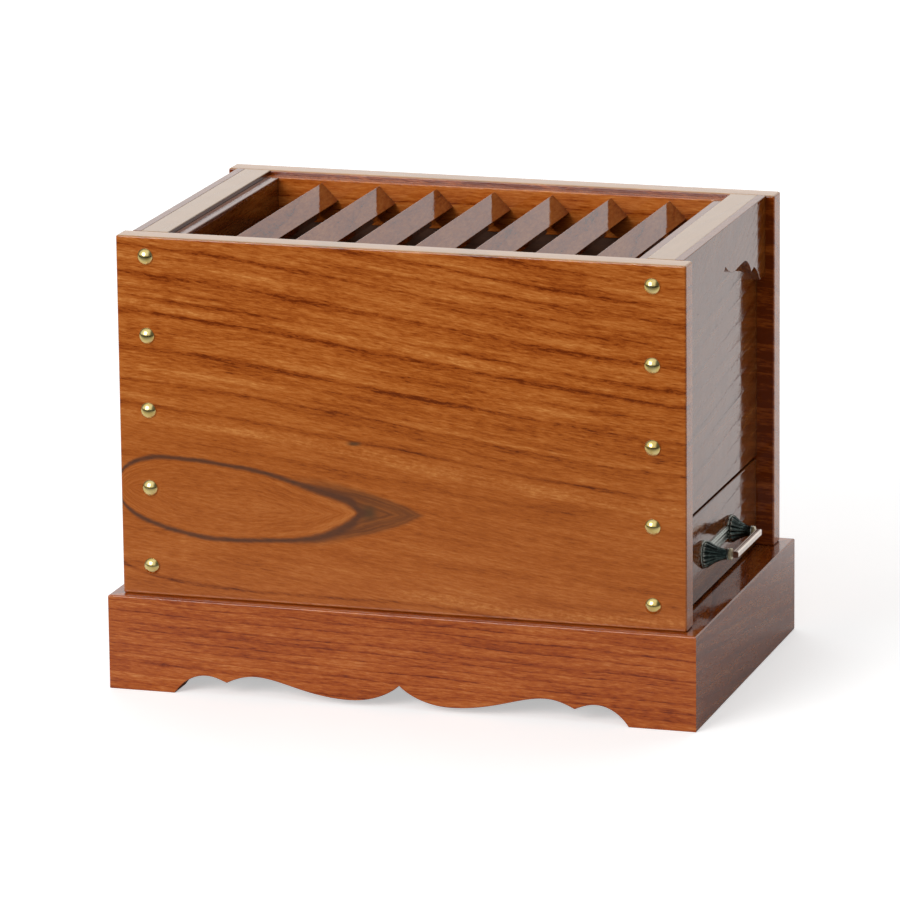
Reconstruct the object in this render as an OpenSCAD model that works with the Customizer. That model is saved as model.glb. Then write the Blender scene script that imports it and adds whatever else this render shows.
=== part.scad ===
// Offertory box in zelkova wood: two broad boards nailed over recessed side panels, a lattice of
// turned-up square bars on top, a mitred plinth with a scalloped edge and a drawer in the right side.
// Millimetres. X runs along the front, +X is the drawer's side, -Y is the front, +Z is up.
// The origin is the middle of the plinth's underside.

/* [Box] */
// Width of the front and back boards
box_w = 349; // [330:1:380]
// Depth over the front and back boards
box_d = 220; // [200:1:240]
// Height from the floor to the top edge
box_h = 277; // [262:1:300]
// Thickness of the front and back boards
board_t = 15; // [13:0.5:17]
// Thickness of the side panels
panel_t = 16.8; // [15:0.1:18]
// Depth of the side recess between the ends of the boards
recess = 10.7; // [9:0.1:12]
// Thickness of the carved apron in each side recess
apron_t = 5.3; // [4:0.1:6]

/* [Plinth] */
// Height of the plinth
plinth_h = 58; // [50:1:64]
// Thickness of the plinth's boards
plinth_t = 20; // [18:0.5:22]
// How far the plinth stands out beyond the boards' ends
plinth_lip_x = 7.5; // [5:0.5:9]
// How far the plinth stands out in front of the boards
plinth_lip_y = 7; // [5:0.5:9]
// Thickness of the bottom board
bottom_t = 12; // [9:1:15]

/* [Lattice] */
// Number of slats
slat_count = 7; // [7:1:7]
// Side of a slat's square section
slat_side = 15; // [13:0.5:16]
// Distance from slat to slat
slat_pitch = 37; // [35:0.5:37.5]
// Width of the lattice frame's rails
rail_w = 8; // [7:0.5:10]
// How far the lattice frame sits below the top edge
rail_drop = 2.7; // [2:0.1:6]

/* [Drawer] */
// Height of the drawer's front
drawer_front_h = 53.6; // [48:0.1:54]
// Thickness of the drawer's front
drawer_front_t = 12; // [10:0.5:14]
// Height of the drawer's sides
drawer_side_h = 40; // [34:1:42]
// Thickness of the drawer's sides
drawer_side_t = 8; // [7:0.5:10]
// Gap beside the drawer
drawer_play = 0.8; // [0.5:0.1:1.2]

/* [Pull] */
// Distance between the feet of the pull's two posts
pull_foot_span = 63; // [56:1:68]
// How far each post leans inwards, in degrees
pull_lean = 16; // [10:1:18]
// Diameter of a post's foot
pull_foot_d = 16.6; // [15:0.5:18]
// How far the grip bar's outer face stands off the drawer
pull_reach = 20.4; // [19.5:0.1:22]
// Side of the grip bar's square section
pull_bar_side = 4; // [3.5:0.1:5]

/* [Nails] */
// Diameter of a nail's domed head
nail_head_d = 10; // [8:0.5:11]
// Height of a nail's domed head
nail_head_h = 3; // [2:0.1:3.5]
// Diameter of a nail's shank
nail_shank_d = 2.4; // [2:0.1:3]

/* [Hidden] */

$fn = 48;
eps = 0.01;
past = 1; // how far a cutter runs past the face that it cuts

// Box: the planes that everything else is placed from
inner_y = box_d / 2 - board_t;
panel_out_x = box_w / 2 - recess;
panel_in_x = panel_out_x - panel_t;
apron_out_x = panel_out_x + apron_t;

// Plinth
plinth_x = box_w / 2 + plinth_lip_x;
plinth_y = box_d / 2 + plinth_lip_y;
bottom_x = plinth_x - plinth_t;
bottom_y = plinth_y - plinth_t;
bottom_z = plinth_h - bottom_t;
block_leg = 22;
block_foot_z = 4;

// Lattice: rails, slats let into them, and the cleats that carry the frame
rail_top = box_h - rail_drop;
rail_h = 27;
rail_bottom = rail_top - rail_h;
slat_half = slat_side / sqrt(2);
slat_apex_drop = 2;
slat_z = rail_top - slat_apex_drop - slat_half;
slat_let_in = 5;
cleat_h = 12;

// Drawer: opening, box and the strips that guide it
drawer_opening_top = 115;
drawer_floor_gap = 1.6;
drawer_front_z = plinth_h + drawer_floor_gap;
runner_h = 2;
runner_w = 11;
drawer_lift = 0.2;
drawer_z = plinth_h + runner_h + drawer_lift;
drawer_y = inner_y - drawer_play;
drawer_back_x = -panel_in_x + drawer_play;
drawer_face_in_x = panel_out_x - drawer_front_t;
drawer_bottom_z = drawer_z + 5;
drawer_bottom_t = 4;
groove = 4;
rebate = 5;
tilt_rail_gap = 0.8;
tilt_rail_w = 12;
peg_d = 2.5;
peg_len = 16;
peg_rows = [13, 31];

// Pull: everything is measured outwards from the drawer's face
pull_z = 84.6;
plate_t = 1.2;
plate_strip_t = 2;
plate_strip_h = 8.5;
post_len = 14.2;
neck_d = 6.4;
rim_t = 1.2;
collar_d = 7.4;
tenon_d = 3;
tenon_len = 5;
pull_bar_len = 55;
pull_bar_bevel = 0.7;
pull_bar_in = pull_reach - pull_bar_side;
screw_d = 4;
screw_head_d = 7.5;
screw_head_h = 2.4;
screw_into_post = 6;
screw_clear = 0.15;

// Nails and screws
panel_mid_x = panel_out_x - panel_t / 2;
nail_x_left = panel_mid_x + 0.8;
nail_x_right = panel_mid_x - 1.3;
nail_rows_left = [76, 124, 171.5, 217, 265];
nail_rows_right = [73, 120.5, 168, 217, 264];
nail_len = 38;
short_nail_len = 13;
bottom_screw_d = 3.5;
bottom_screw_head_d = 7;
bottom_screw_head_h = 2;
bottom_screw_len = 34;
bottom_screw_rows = [-70, 0, 70];

zelkova = "#b3692f";
zelkova_red = "#a85c2c";
zelkova_pale = "#c99a63";
inside_wood = "#c8955a";
brass = "#d9b44a";
dark_bronze = "#2f3b34";
bright_bronze = "#8d8378";
old_gold = "#b9a26a";
steel = "#9a9a9a";

// A cubic Bezier from p[0] to p[3]; its first point is left to the stretch before it
function bezier(p, n = 8) =
    [for (i = [1 : n]) let (t = i / n, s = 1 - t)
        s * s * s * p[0] + 3 * s * s * t * p[1] + 3 * s * t * t * p[2] + t * t * t * p[3]];

// The same points with their first coordinate negated, in the opposite order
function mirrored(points) =
    [for (i = [len(points) - 1 : -1 : 0]) [-points[i][0], points[i][1]]];

// Half of the plinth's lower edge, from the foot to the peak in the middle: [x, z]
foot_in_x = plinth_x - 41;
plinth_edge = concat(
    [[plinth_x, 0], [foot_in_x, 0]],
    bezier([[foot_in_x, 0], [137, 6], [130, 12], [121, 12]]),
    bezier([[121, 12], [116, 12], [112, 10.2], [108, 8.5]]),
    bezier([[108, 8.5], [104.5, 10.2], [98, 13.5], [90, 13.5]]),
    bezier([[90, 13.5], [74, 13.5], [58, 3.6], [31, 3.6]], 12),
    bezier([[31, 3.6], [19, 3.6], [7, 8], [0, 14.6]])
);

// Half of an apron's lower edge, from the horn to the peak in the middle: [y, height above the horn]
horn_z = 227.4;
apron_edge = concat(
    [[inner_y, 0], [82, 0]],
    bezier([[82, 0], [78, 4], [72, 10.8], [66, 10.8]]),
    [[61, 9.6]],
    bezier([[61, 9.6], [56, 15], [51, 19.4], [44, 19.4]]),
    bezier([[44, 19.4], [35, 19.4], [29, 18.6], [21, 18.2]]),
    bezier([[21, 18.2], [14, 18.6], [6, 21], [0, 25.5]])
);

// A box from its lowest to its highest corner
module block(low, high) {
    translate(low) cube(high - low);
}

// Runs its children at the front (-1) or the back (1): they are drawn for the back
module at_side(side) {
    if (side > 0) children();
    else mirror([0, 1, 0]) children();
}

// The lowest nail at the drawer's end is cut short, because only the drawer lies behind it
function nail_len_at(end, z) = end > 0 && z < drawer_opening_top ? short_nail_len : nail_len;

// Puts a nail, or the hole that it has made, at each place in the back board
module nail_places() {
    for (end = [-1, 1])
        for (z = end < 0 ? nail_rows_left : nail_rows_right)
            translate([end < 0 ? -nail_x_left : nail_x_right, box_d / 2, z]) rotate([-90, 0, 0]) {
                $nail_len = nail_len_at(end, z);
                children();
            }
}

module nail_holes() {
    nail_places() translate([0, 0, -$nail_len]) cylinder(d = nail_shank_d, h = $nail_len + past);
}

// ---- Carcass ----

module board(side) {
    color(zelkova) at_side(side) difference() {
        block([-box_w / 2, inner_y, plinth_h], [box_w / 2, box_d / 2, box_h]);
        nail_holes();
    }
}

module left_side_panel() {
    color(zelkova) difference() {
        block([-panel_out_x, -inner_y, plinth_h], [-panel_in_x, inner_y, box_h]);
        for (side = [-1, 1]) at_side(side) nail_holes();
        bottom_screw_holes();
    }
}

module right_side_panel() {
    color(zelkova) difference() {
        block([panel_in_x, -inner_y, drawer_opening_top], [panel_out_x, inner_y, box_h]);
        for (side = [-1, 1]) at_side(side) nail_holes();
    }
}

module apron(side) {
    outline = concat(apron_edge, [for (i = [1 : len(apron_edge) - 1]) mirrored(apron_edge)[i]]);
    top = box_h - horn_z;
    low_x = side > 0 ? panel_out_x : -apron_out_x;
    color(zelkova) translate([low_x, 0, horn_z]) rotate([90, 0, 90]) linear_extrude(apron_t)
        polygon(concat(outline, [[-inner_y, top], [inner_y, top]]));
}

// ---- Plinth ----

// The room of one plinth board between its mitres: the board is drawn for the back
module mitred(half_x, half_y) {
    intersection() {
        children();
        translate([0, 0, -past]) linear_extrude(plinth_h + 2 * past)
            polygon([
                [-half_x, half_y], [half_x, half_y],
                [half_x - plinth_t, half_y - plinth_t], [plinth_t - half_x, half_y - plinth_t]
            ]);
    }
}

module plinth_long(side) {
    outline = concat(plinth_edge, [for (i = [1 : len(plinth_edge) - 1]) mirrored(plinth_edge)[i]]);
    color(zelkova_red) at_side(side) mitred(plinth_x, plinth_y)
        translate([0, plinth_y, 0]) rotate([90, 0, 0]) linear_extrude(plinth_t)
            polygon(concat(outline, [[-plinth_x, plinth_h], [plinth_x, plinth_h]]));
}

module plinth_short(side) {
    color(zelkova_red) rotate([0, 0, side > 0 ? -90 : 90]) mitred(plinth_y, plinth_x)
        block([-plinth_y, plinth_x - plinth_t, 0], [plinth_y, plinth_x, plinth_h]);
}

module bottom_screw_holes() {
    for (y = bottom_screw_rows)
        translate([-panel_mid_x, y, bottom_z - past])
            cylinder(d = bottom_screw_d, h = bottom_screw_len + past);
}

module bottom_board() {
    color(inside_wood) difference() {
        block([-bottom_x, -bottom_y, bottom_z], [bottom_x, bottom_y, plinth_h]);
        bottom_screw_holes();
    }
}

module bottom_screws() {
    color(steel) for (y = bottom_screw_rows) {
        translate([-panel_mid_x, y, bottom_z]) cylinder(d = bottom_screw_d, h = bottom_screw_len);
        translate([-panel_mid_x, y, bottom_z - bottom_screw_head_h])
            cylinder(d = bottom_screw_head_d, h = bottom_screw_head_h);
    }
}

// Triangular glue blocks in the plinth's corners, counted from the left front corner
module corner_block(i) {
    quadrant = [[-1, -1], [1, -1], [1, 1], [-1, 1]][i - 1];
    color(inside_wood) translate([quadrant[0] * bottom_x, quadrant[1] * bottom_y, block_foot_z])
        linear_extrude(bottom_z - block_foot_z)
            polygon([[0, 0], [-quadrant[0] * block_leg, 0], [0, -quadrant[1] * block_leg]]);
}

// ---- Lattice ----

module slat_prism(i, half_len) {
    x = (i - (slat_count + 1) / 2) * slat_pitch;
    translate([x, half_len, slat_z]) rotate([90, 0, 0]) linear_extrude(2 * half_len)
        polygon([[slat_half, 0], [0, slat_half], [-slat_half, 0], [0, -slat_half]]);
}

module lattice_rail_long(side) {
    color(zelkova_pale) at_side(side) difference() {
        block([-panel_in_x, inner_y - rail_w, rail_bottom], [panel_in_x, inner_y, rail_top]);
        for (i = [1 : slat_count]) slat_prism(i, inner_y - rail_w + slat_let_in);
    }
}

module lattice_rail_short(side) {
    low_x = side > 0 ? panel_in_x - rail_w : -panel_in_x;
    color(zelkova_pale)
        block([low_x, rail_w - inner_y, rail_bottom], [low_x + rail_w, inner_y - rail_w, rail_top]);
}

module slat(i) {
    color(zelkova_pale) slat_prism(i, inner_y - rail_w + slat_let_in);
}

module cleat_long(side) {
    color(inside_wood) at_side(side)
        block([-panel_in_x, inner_y - rail_w, rail_bottom - cleat_h], [panel_in_x, inner_y, rail_bottom]);
}

module cleat_short(side) {
    low_x = side > 0 ? panel_in_x - rail_w : -panel_in_x;
    color(inside_wood) block(
        [low_x, rail_w - inner_y, rail_bottom - cleat_h],
        [low_x + rail_w, inner_y - rail_w, rail_bottom]
    );
}

// ---- Drawer guides ----

module runner(side) {
    color(inside_wood) at_side(side)
        block([-panel_in_x, inner_y - runner_w, plinth_h], [panel_in_x, inner_y, plinth_h + runner_h]);
}

// Keeps the drawer level as it comes out; its sloped top sheds coins into the drawer
module tilt_rail(side) {
    low_z = drawer_z + drawer_side_h + tilt_rail_gap;
    color(inside_wood) at_side(side) translate([-panel_in_x, inner_y, low_z])
        rotate([90, 0, 90]) linear_extrude(2 * panel_in_x)
            polygon([[0, 0], [-tilt_rail_w, 0], [-tilt_rail_w, 3], [0, tilt_rail_w]]);
}

// ---- Nails ----

module nail() {
    sphere_r = (pow(nail_head_d / 2, 2) + pow(nail_head_h, 2)) / (2 * nail_head_h);
    intersection() {
        translate([0, 0, nail_head_h - sphere_r]) sphere(r = sphere_r, $fn = 64);
        cylinder(d = nail_head_d + 1, h = nail_head_h + 1);
    }
    translate([0, 0, -$nail_len]) cylinder(d = nail_shank_d, h = $nail_len + eps);
}

module nails(side) {
    color(brass) at_side(side) nail_places() nail();
}

// ---- Drawer ----

// The bottom board's room, which is cut out of the four walls as a groove
module drawer_bottom_blank() {
    block(
        [drawer_back_x + groove, groove - drawer_y, drawer_bottom_z],
        [drawer_face_in_x + groove, drawer_y - groove, drawer_bottom_z + drawer_bottom_t]
    );
}

// Puts a peg, or its hole, at each corner of the drawer: they point inwards from the sides
module peg_places() {
    for (side = [-1, 1])
        for (x = [drawer_back_x + drawer_side_t / 2, drawer_face_in_x + rebate / 2])
            for (z = peg_rows)
                translate([x, side * drawer_y, drawer_z + z]) rotate([side * 90, 0, 0]) children();
}

module peg_holes() {
    peg_places() translate([0, 0, -past]) cylinder(d = peg_d, h = peg_len + past);
}

module drawer_front() {
    color(zelkova) difference() {
        block(
            [drawer_face_in_x, -drawer_y, drawer_front_z],
            [panel_out_x, drawer_y, drawer_front_z + drawer_front_h]
        );
        for (side = [-1, 1]) at_side(side) block(
            [drawer_face_in_x - past, drawer_y - drawer_side_t, drawer_z],
            [drawer_face_in_x + rebate, drawer_y + past, drawer_z + drawer_side_h]
        );
        drawer_bottom_blank();
        peg_holes();
        for (side = [-1, 1]) translate([drawer_face_in_x - past, side * pull_foot_span / 2, pull_z])
            rotate([0, 90, 0]) cylinder(d = screw_d + 2 * screw_clear, h = drawer_front_t + 2 * past);
    }
}

module drawer_side(side) {
    color(inside_wood) difference() {
        at_side(side) block(
            [drawer_back_x, drawer_y - drawer_side_t, drawer_z],
            [drawer_face_in_x + rebate, drawer_y, drawer_z + drawer_side_h]
        );
        drawer_bottom_blank();
        peg_holes();
    }
}

module drawer_rear() {
    color(inside_wood) difference() {
        block(
            [drawer_back_x, drawer_side_t - drawer_y, drawer_z],
            [drawer_back_x + drawer_side_t, drawer_y - drawer_side_t, drawer_z + drawer_side_h]
        );
        drawer_bottom_blank();
        peg_holes();
    }
}

module drawer_bottom() {
    color(inside_wood) drawer_bottom_blank();
}

// Bamboo pegs, which lock the sides to the front and to the rear wall
module drawer_pegs() {
    color(zelkova_pale) peg_places() cylinder(d = peg_d, h = peg_len);
}

// ---- Pull ----

// Places its children at the foot of a post, with the post's axis along their Z
module on_post(side) {
    translate([panel_out_x, side * pull_foot_span / 2, pull_z])
        rotate([0, 0, -side * pull_lean]) rotate([0, 90, 0]) children();
}

// Everything between two distances from the drawer's face
module off_face(low, high) {
    block(
        [panel_out_x + low, -pull_foot_span, pull_z - pull_foot_d],
        [panel_out_x + high, pull_foot_span, pull_z + pull_foot_d]
    );
}

module screw_places() {
    for (side = [-1, 1])
        translate([drawer_face_in_x, side * pull_foot_span / 2, pull_z]) rotate([0, 90, 0]) children();
}

module pull_plate() {
    strip_z = plate_strip_h / 2;
    color(dark_bronze) difference() {
        union() {
            for (side = [-1, 1])
                translate([panel_out_x, side * pull_foot_span / 2, pull_z]) rotate([0, 90, 0])
                    cylinder(d = pull_foot_d + 0.6, h = plate_t);
            block(
                [panel_out_x, -pull_foot_span / 2, pull_z - strip_z],
                [panel_out_x + plate_t, pull_foot_span / 2, pull_z + strip_z]
            );
            for (z = [-1, 1])
                translate([panel_out_x + plate_t, 0, pull_z + z * plate_strip_h / 4])
                    rotate([90, 0, 0])
                        cylinder(d = 2 * (plate_strip_t - plate_t), h = pull_foot_span / 2, center = true);
        }
        screw_places() cylinder(d = screw_d, h = drawer_front_t + pull_reach);
    }
}

// A trumpet: a broad thin rim that sweeps in to a slender neck, and a tenon that the grip bar takes
module pull_post(side) {
    foot_r = pull_foot_d / 2;
    neck_r = neck_d / 2;
    flare_from = plate_t + rim_t;
    sweep = [for (i = [0 : 12]) let (t = i / 12)
        [neck_r + (foot_r - neck_r) * pow(1 - t, 1.8), flare_from + t * (post_len - flare_from)]];
    color(dark_bronze) difference() {
        intersection() {
            on_post(side) {
                rotate_extrude() polygon(concat(
                    [[0, -foot_r], [foot_r, -foot_r]],
                    sweep,
                    [[0, post_len]]
                ));
                cylinder(d = tenon_d, h = post_len + tenon_len);
            }
            off_face(plate_t, pull_reach);
        }
        screw_places() cylinder(d = screw_d, h = drawer_front_t + plate_t + screw_into_post);
    }
}

module pull_collar(side) {
    color(old_gold) difference() {
        intersection() {
            on_post(side) translate([0, 0, post_len]) cylinder(d = collar_d, h = pull_reach);
            off_face(plate_t, pull_bar_in);
        }
        on_post(side) cylinder(d = tenon_d, h = post_len + tenon_len + past);
    }
}

module pull_bar() {
    half = pull_bar_side / 2;
    cut = half - pull_bar_bevel;
    color(bright_bronze) difference() {
        translate([panel_out_x + pull_bar_in + half, pull_bar_len / 2, pull_z]) rotate([90, 0, 0])
            linear_extrude(pull_bar_len) polygon([
                [half, -cut], [half, cut], [cut, half], [-cut, half],
                [-half, cut], [-half, -cut], [-cut, -half], [cut, -half]
            ]);
        for (side = [-1, 1]) on_post(side) cylinder(d = tenon_d, h = post_len + tenon_len);
    }
}

module pull_screws() {
    color(steel) screw_places() {
        cylinder(d = screw_d, h = drawer_front_t + plate_t + screw_into_post);
        translate([0, 0, -screw_head_h]) cylinder(d = screw_head_d, h = screw_head_h);
    }
}

board(-1);  // front_board
board(1);  // back_board
left_side_panel();
right_side_panel();
apron(-1);  // left_apron
apron(1);  // right_apron
plinth_long(-1);  // plinth_front
plinth_long(1);  // plinth_back
plinth_short(-1);  // plinth_left
plinth_short(1);  // plinth_right
bottom_board();
for (i = [1 : 4]) corner_block(i);
lattice_rail_long(-1);  // lattice_rail_front
lattice_rail_long(1);  // lattice_rail_back
lattice_rail_short(-1);  // lattice_rail_left
lattice_rail_short(1);  // lattice_rail_right
for (i = [1 : slat_count]) slat(i);
cleat_long(-1);  // cleat_front
cleat_long(1);  // cleat_back
cleat_short(-1);  // cleat_left
cleat_short(1);  // cleat_right
runner(-1);  // runner_front
runner(1);  // runner_back
tilt_rail(-1);  // tilt_rail_front
tilt_rail(1);  // tilt_rail_back
nails(-1);  // front_nails
nails(1);  // back_nails
bottom_screws();
drawer_front();
drawer_side(-1);  // drawer_side_front
drawer_side(1);  // drawer_side_back
drawer_rear();
drawer_bottom();
drawer_pegs();
pull_plate();
pull_post(-1);  // pull_post_front
pull_post(1);  // pull_post_back
pull_collar(-1);  // pull_collar_front
pull_collar(1);  // pull_collar_back
pull_bar();
pull_screws();
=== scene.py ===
"""Looks of the offertory box: eased zelkova boards, brass nails, a fluted bronze pull, and the studio."""

import math
import random

import bmesh
import bpy
from mathutils import Matrix, Vector

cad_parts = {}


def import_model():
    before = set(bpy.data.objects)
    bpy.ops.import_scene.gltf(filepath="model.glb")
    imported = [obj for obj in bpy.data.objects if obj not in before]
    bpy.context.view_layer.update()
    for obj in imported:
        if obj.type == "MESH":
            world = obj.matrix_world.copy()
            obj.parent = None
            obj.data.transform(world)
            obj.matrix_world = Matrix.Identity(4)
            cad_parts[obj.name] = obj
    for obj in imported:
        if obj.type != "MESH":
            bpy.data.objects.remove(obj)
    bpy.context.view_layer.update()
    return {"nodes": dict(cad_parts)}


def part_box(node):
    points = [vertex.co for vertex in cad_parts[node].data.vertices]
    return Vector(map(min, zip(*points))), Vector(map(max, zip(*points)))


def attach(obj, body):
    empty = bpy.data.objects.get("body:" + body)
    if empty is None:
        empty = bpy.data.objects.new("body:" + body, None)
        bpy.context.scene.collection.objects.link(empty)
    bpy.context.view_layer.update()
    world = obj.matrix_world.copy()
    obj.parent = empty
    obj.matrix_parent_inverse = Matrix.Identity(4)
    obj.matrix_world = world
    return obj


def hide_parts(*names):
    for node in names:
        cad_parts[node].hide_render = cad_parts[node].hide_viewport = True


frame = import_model()

MM = 0.001
random.seed(7)

# ---------------------------------------------------------------- node graphs


class Num:
    """A number socket in a graph, which can be added, subtracted, multiplied and divided like a number."""

    def __init__(self, graph, socket):
        self.graph = graph
        self.socket = socket

    def __add__(self, other):
        return self.graph.math("ADD", self, other)

    def __sub__(self, other):
        return self.graph.math("SUBTRACT", self, other)

    def __mul__(self, other):
        return self.graph.math("MULTIPLY", self, other)

    def __truediv__(self, other):
        return self.graph.math("DIVIDE", self, other)

    __radd__ = __add__
    __rmul__ = __mul__

    def __rsub__(self, other):
        return self.graph.math("SUBTRACT", other, self)

    def abs(self):
        return self.graph.math("ABSOLUTE", self)

    def power(self, exponent):
        return self.graph.math("POWER", self, exponent)

    def clamp(self):
        return self.graph.math("ADD", self, 0.0, clamp=True)


class Graph:
    """Builds a material's nodes; lengths in it are millimetres."""

    def __init__(self, name):
        self.material = bpy.data.materials.new(name)
        self.material.use_nodes = True
        self.tree = self.material.node_tree
        self.shader = self.tree.nodes["Principled BSDF"]

    def node(self, kind, **settings):
        made = self.tree.nodes.new(kind)
        for key, value in settings.items():
            setattr(made, key, value)
        return made

    def feed(self, socket, value):
        if isinstance(value, Num):
            self.tree.links.new(value.socket, socket)
        elif isinstance(value, bpy.types.NodeSocket):
            self.tree.links.new(value, socket)
        else:
            socket.default_value = value

    def math(self, operation, *values, clamp=False):
        made = self.node("ShaderNodeMath", operation=operation, use_clamp=clamp)
        for socket, value in zip(made.inputs, values):
            self.feed(socket, value)
        return Num(self, made.outputs[0])

    def place(self):
        """x, y and z in the frame, in millimetres."""
        coords = self.node("ShaderNodeTexCoord")
        scaled = self.node("ShaderNodeVectorMath", operation="SCALE")
        self.feed(scaled.inputs[0], coords.outputs["Object"])
        scaled.inputs["Scale"].default_value = 1.0 / MM
        split = self.node("ShaderNodeSeparateXYZ")
        self.feed(split.inputs[0], scaled.outputs[0])
        return [Num(self, out) for out in split.outputs]

    def noise(self, x, y, z=0.0, detail=2.0, roughness=0.5):
        """Smooth noise from 0 to 1 at a place given in noise cells."""
        joined = self.node("ShaderNodeCombineXYZ")
        for socket, value in zip(joined.inputs, (x, y, z)):
            self.feed(socket, value)
        made = self.node("ShaderNodeTexNoise")
        self.feed(made.inputs["Vector"], joined.outputs[0])
        made.inputs["Scale"].default_value = 1.0
        made.inputs["Detail"].default_value = detail
        made.inputs["Roughness"].default_value = roughness
        return Num(self, made.outputs["Fac"])

    def ease(self, value, low, high):
        """0 below low, 1 above high, smooth between; low may be the larger."""
        made = self.node("ShaderNodeMapRange", interpolation_type="SMOOTHSTEP")
        self.feed(made.inputs["Value"], value)
        made.inputs["From Min"].default_value = min(low, high)
        made.inputs["From Max"].default_value = max(low, high)
        made.inputs["To Min"].default_value = 0.0 if low < high else 1.0
        made.inputs["To Max"].default_value = 1.0 if low < high else 0.0
        return Num(self, made.outputs["Result"])

    def ramp(self, value, stops):
        """A colour from (place, colour) stops, in rising order of place."""
        made = self.node("ShaderNodeValToRGB")
        self.feed(made.inputs[0], value)
        elements = made.color_ramp.elements
        for element, (place, _) in zip(elements, (stops[0], stops[-1])):
            element.position = place
        for place, _ in stops[1:-1]:
            elements.new(place)
        for element, (_, colour) in zip(elements, stops):
            element.color = (*colour, 1.0)
        return made.outputs["Color"]

    def mix(self, factor, first, second):
        """A blend of two colours: the first where the factor is 0, the second where it is 1."""
        made = self.node("ShaderNodeMix", data_type="RGBA")
        self.feed(made.inputs["Factor"], factor)
        self.feed(made.inputs["A"], (*first, 1.0) if isinstance(first, tuple) else first)
        self.feed(made.inputs["B"], (*second, 1.0) if isinstance(second, tuple) else second)
        return made.outputs["Result"]

    def bump(self, height, depth):
        """A bump whose height is 0 to 1 times a depth in millimetres."""
        made = self.node("ShaderNodeBump")
        made.inputs["Strength"].default_value = 1.0
        made.inputs["Distance"].default_value = depth * MM
        self.feed(made.inputs["Height"], height)
        return made.outputs["Normal"]


# ---------------------------------------------------------------- wood

# From the darkest latewood line to the brightest streak: the places are tones from 0 to 1
ORANGE = (
    (0.00, (0.154, 0.024, 0.002)), (0.15, (0.278, 0.055, 0.006)), (0.35, (0.366, 0.086, 0.011)),
    (0.50, (0.427, 0.112, 0.017)), (0.65, (0.484, 0.143, 0.026)), (0.85, (0.556, 0.189, 0.041)),
    (1.00, (0.639, 0.248, 0.063)),
)
LOWER_ORANGE = (
    (0.00, (0.120, 0.025, 0.004)), (0.15, (0.235, 0.052, 0.006)), (0.35, (0.320, 0.077, 0.009)),
    (0.50, (0.362, 0.092, 0.012)), (0.65, (0.400, 0.109, 0.018)), (0.85, (0.450, 0.140, 0.028)),
    (1.00, (0.520, 0.185, 0.044)),
)
RED = (
    (0.00, (0.125, 0.018, 0.003)), (0.15, (0.224, 0.037, 0.004)), (0.35, (0.302, 0.058, 0.007)),
    (0.50, (0.359, 0.080, 0.011)), (0.65, (0.411, 0.104, 0.018)), (0.85, (0.478, 0.149, 0.035)),
    (1.00, (0.551, 0.205, 0.058)),
)
BARE = (
    (0.00, (0.26, 0.13, 0.05)), (0.30, (0.42, 0.24, 0.11)), (0.55, (0.55, 0.35, 0.18)),
    (1.00, (0.68, 0.48, 0.28)),
)
# Painted shade: the very dark colours of the wood inside the box, which lies in shadow
INSIDE_SHADE = ((0.0, (0.030, 0.009, 0.003)), (0.5, (0.080, 0.028, 0.010)), (1.0, (0.130, 0.052, 0.020)))
# The colour of the painted highlight on the boards' top edges
TOP_HIGHLIGHT_CREAM = (0.52, 0.35, 0.19)
BOARD_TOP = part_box("front_board")[1].z / MM
MIDDLE_TONE = 0.55
COAT_ROUGHNESS = 0.05
COAT_IOR = 1.46
RAMP_LINES = 10  # a colour ramp holds 32 stops, and a line takes 3


def fibres(g, along, across, third):
    """The fine figure of zelkova along its fibres: (streaks, pores, fibre), each about 0 to 1."""
    streaks = g.noise(along * 0.016, across * 0.19, third * 0.08, detail=4.0, roughness=0.62)
    pores = g.noise(along * 0.11, across * 1.25, third * 0.9, detail=2.0, roughness=0.6)
    fibre = g.noise(along * 0.13, across * 0.95, third * 0.7, detail=4.0, roughness=0.72)
    return streaks, pores, fibre


def flecks_of(g, pores):
    """1 in an open pore and 0 between pores."""
    return g.ease(pores, 0.56, 0.72)


def figure(g, streaks, pores, fibre, contrast=1.0):
    """How much the fine figure lightens or darkens the tone."""
    flecks = flecks_of(g, pores)
    return ((streaks - 0.5) * 1.20 + (fibre - 0.5) * 1.50 - flecks * 0.18) * contrast


def warped(g, along, across, third, sway=2.0, jitter=0.5):
    """across, with the slow sway and the fine unsteadiness that growth lines have."""
    slow = g.noise(along * 0.011, across * 0.04, third * 0.03, detail=1.0)
    fine = g.noise(along * 0.09, across * 0.5, third * 0.3, detail=2.0)
    return across + (slow - 0.5) * (2.0 * sway) + (fine - 0.5) * (2.0 * jitter)


def even_rings(g, across, pitch):
    """Darkness of growth lines at a pitch that varies: sharp on one side, fading on the other."""
    turns = across / pitch + g.noise(across / (pitch * 2.5), 3.7) * 1.4
    phase = g.math("FRACT", turns)
    strength = g.noise(g.math("FLOOR", turns) * 7.31, 1.3) * 1.5
    line = g.ramp(phase, (
        (0.0, (1.0,) * 3), (0.05, (0.62,) * 3), (0.16, (0.28,) * 3), (0.45, (0.06,) * 3),
        (0.90, (0.0,) * 3), (0.965, (0.25,) * 3), (1.0, (1.0,) * 3),
    ))
    return g.math("MULTIPLY", line, strength).clamp()


def listed_rings(g, across, lines, low, high):
    """Darkness of growth lines at given places: (place, darkness, fade above, fade below)."""
    span = high - low
    darkest = 0.0
    for start in range(0, len(lines), RAMP_LINES):
        stops = []
        for place, darkness, above, below in sorted(lines[start:start + RAMP_LINES]):
            stops.append(((place - below - low) / span, (0.0,) * 3))
            stops.append(((place - low) / span, (darkness,) * 3))
            stops.append(((place + above - low) / span, (0.0,) * 3))
        darkest = g.math("MAXIMUM", g.ramp((across - low) / span, stops), darkest)
    return darkest


def painted_top_highlight(g, colour, z):
    """Paints a highlight on a board's top edge, where the light from above falls: it is made creamier than
    the faces.
    """
    return g.mix(g.ease(z, BOARD_TOP - 0.9, BOARD_TOP - 0.2) * 0.65, colour, TOP_HIGHLIGHT_CREAM)


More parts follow.
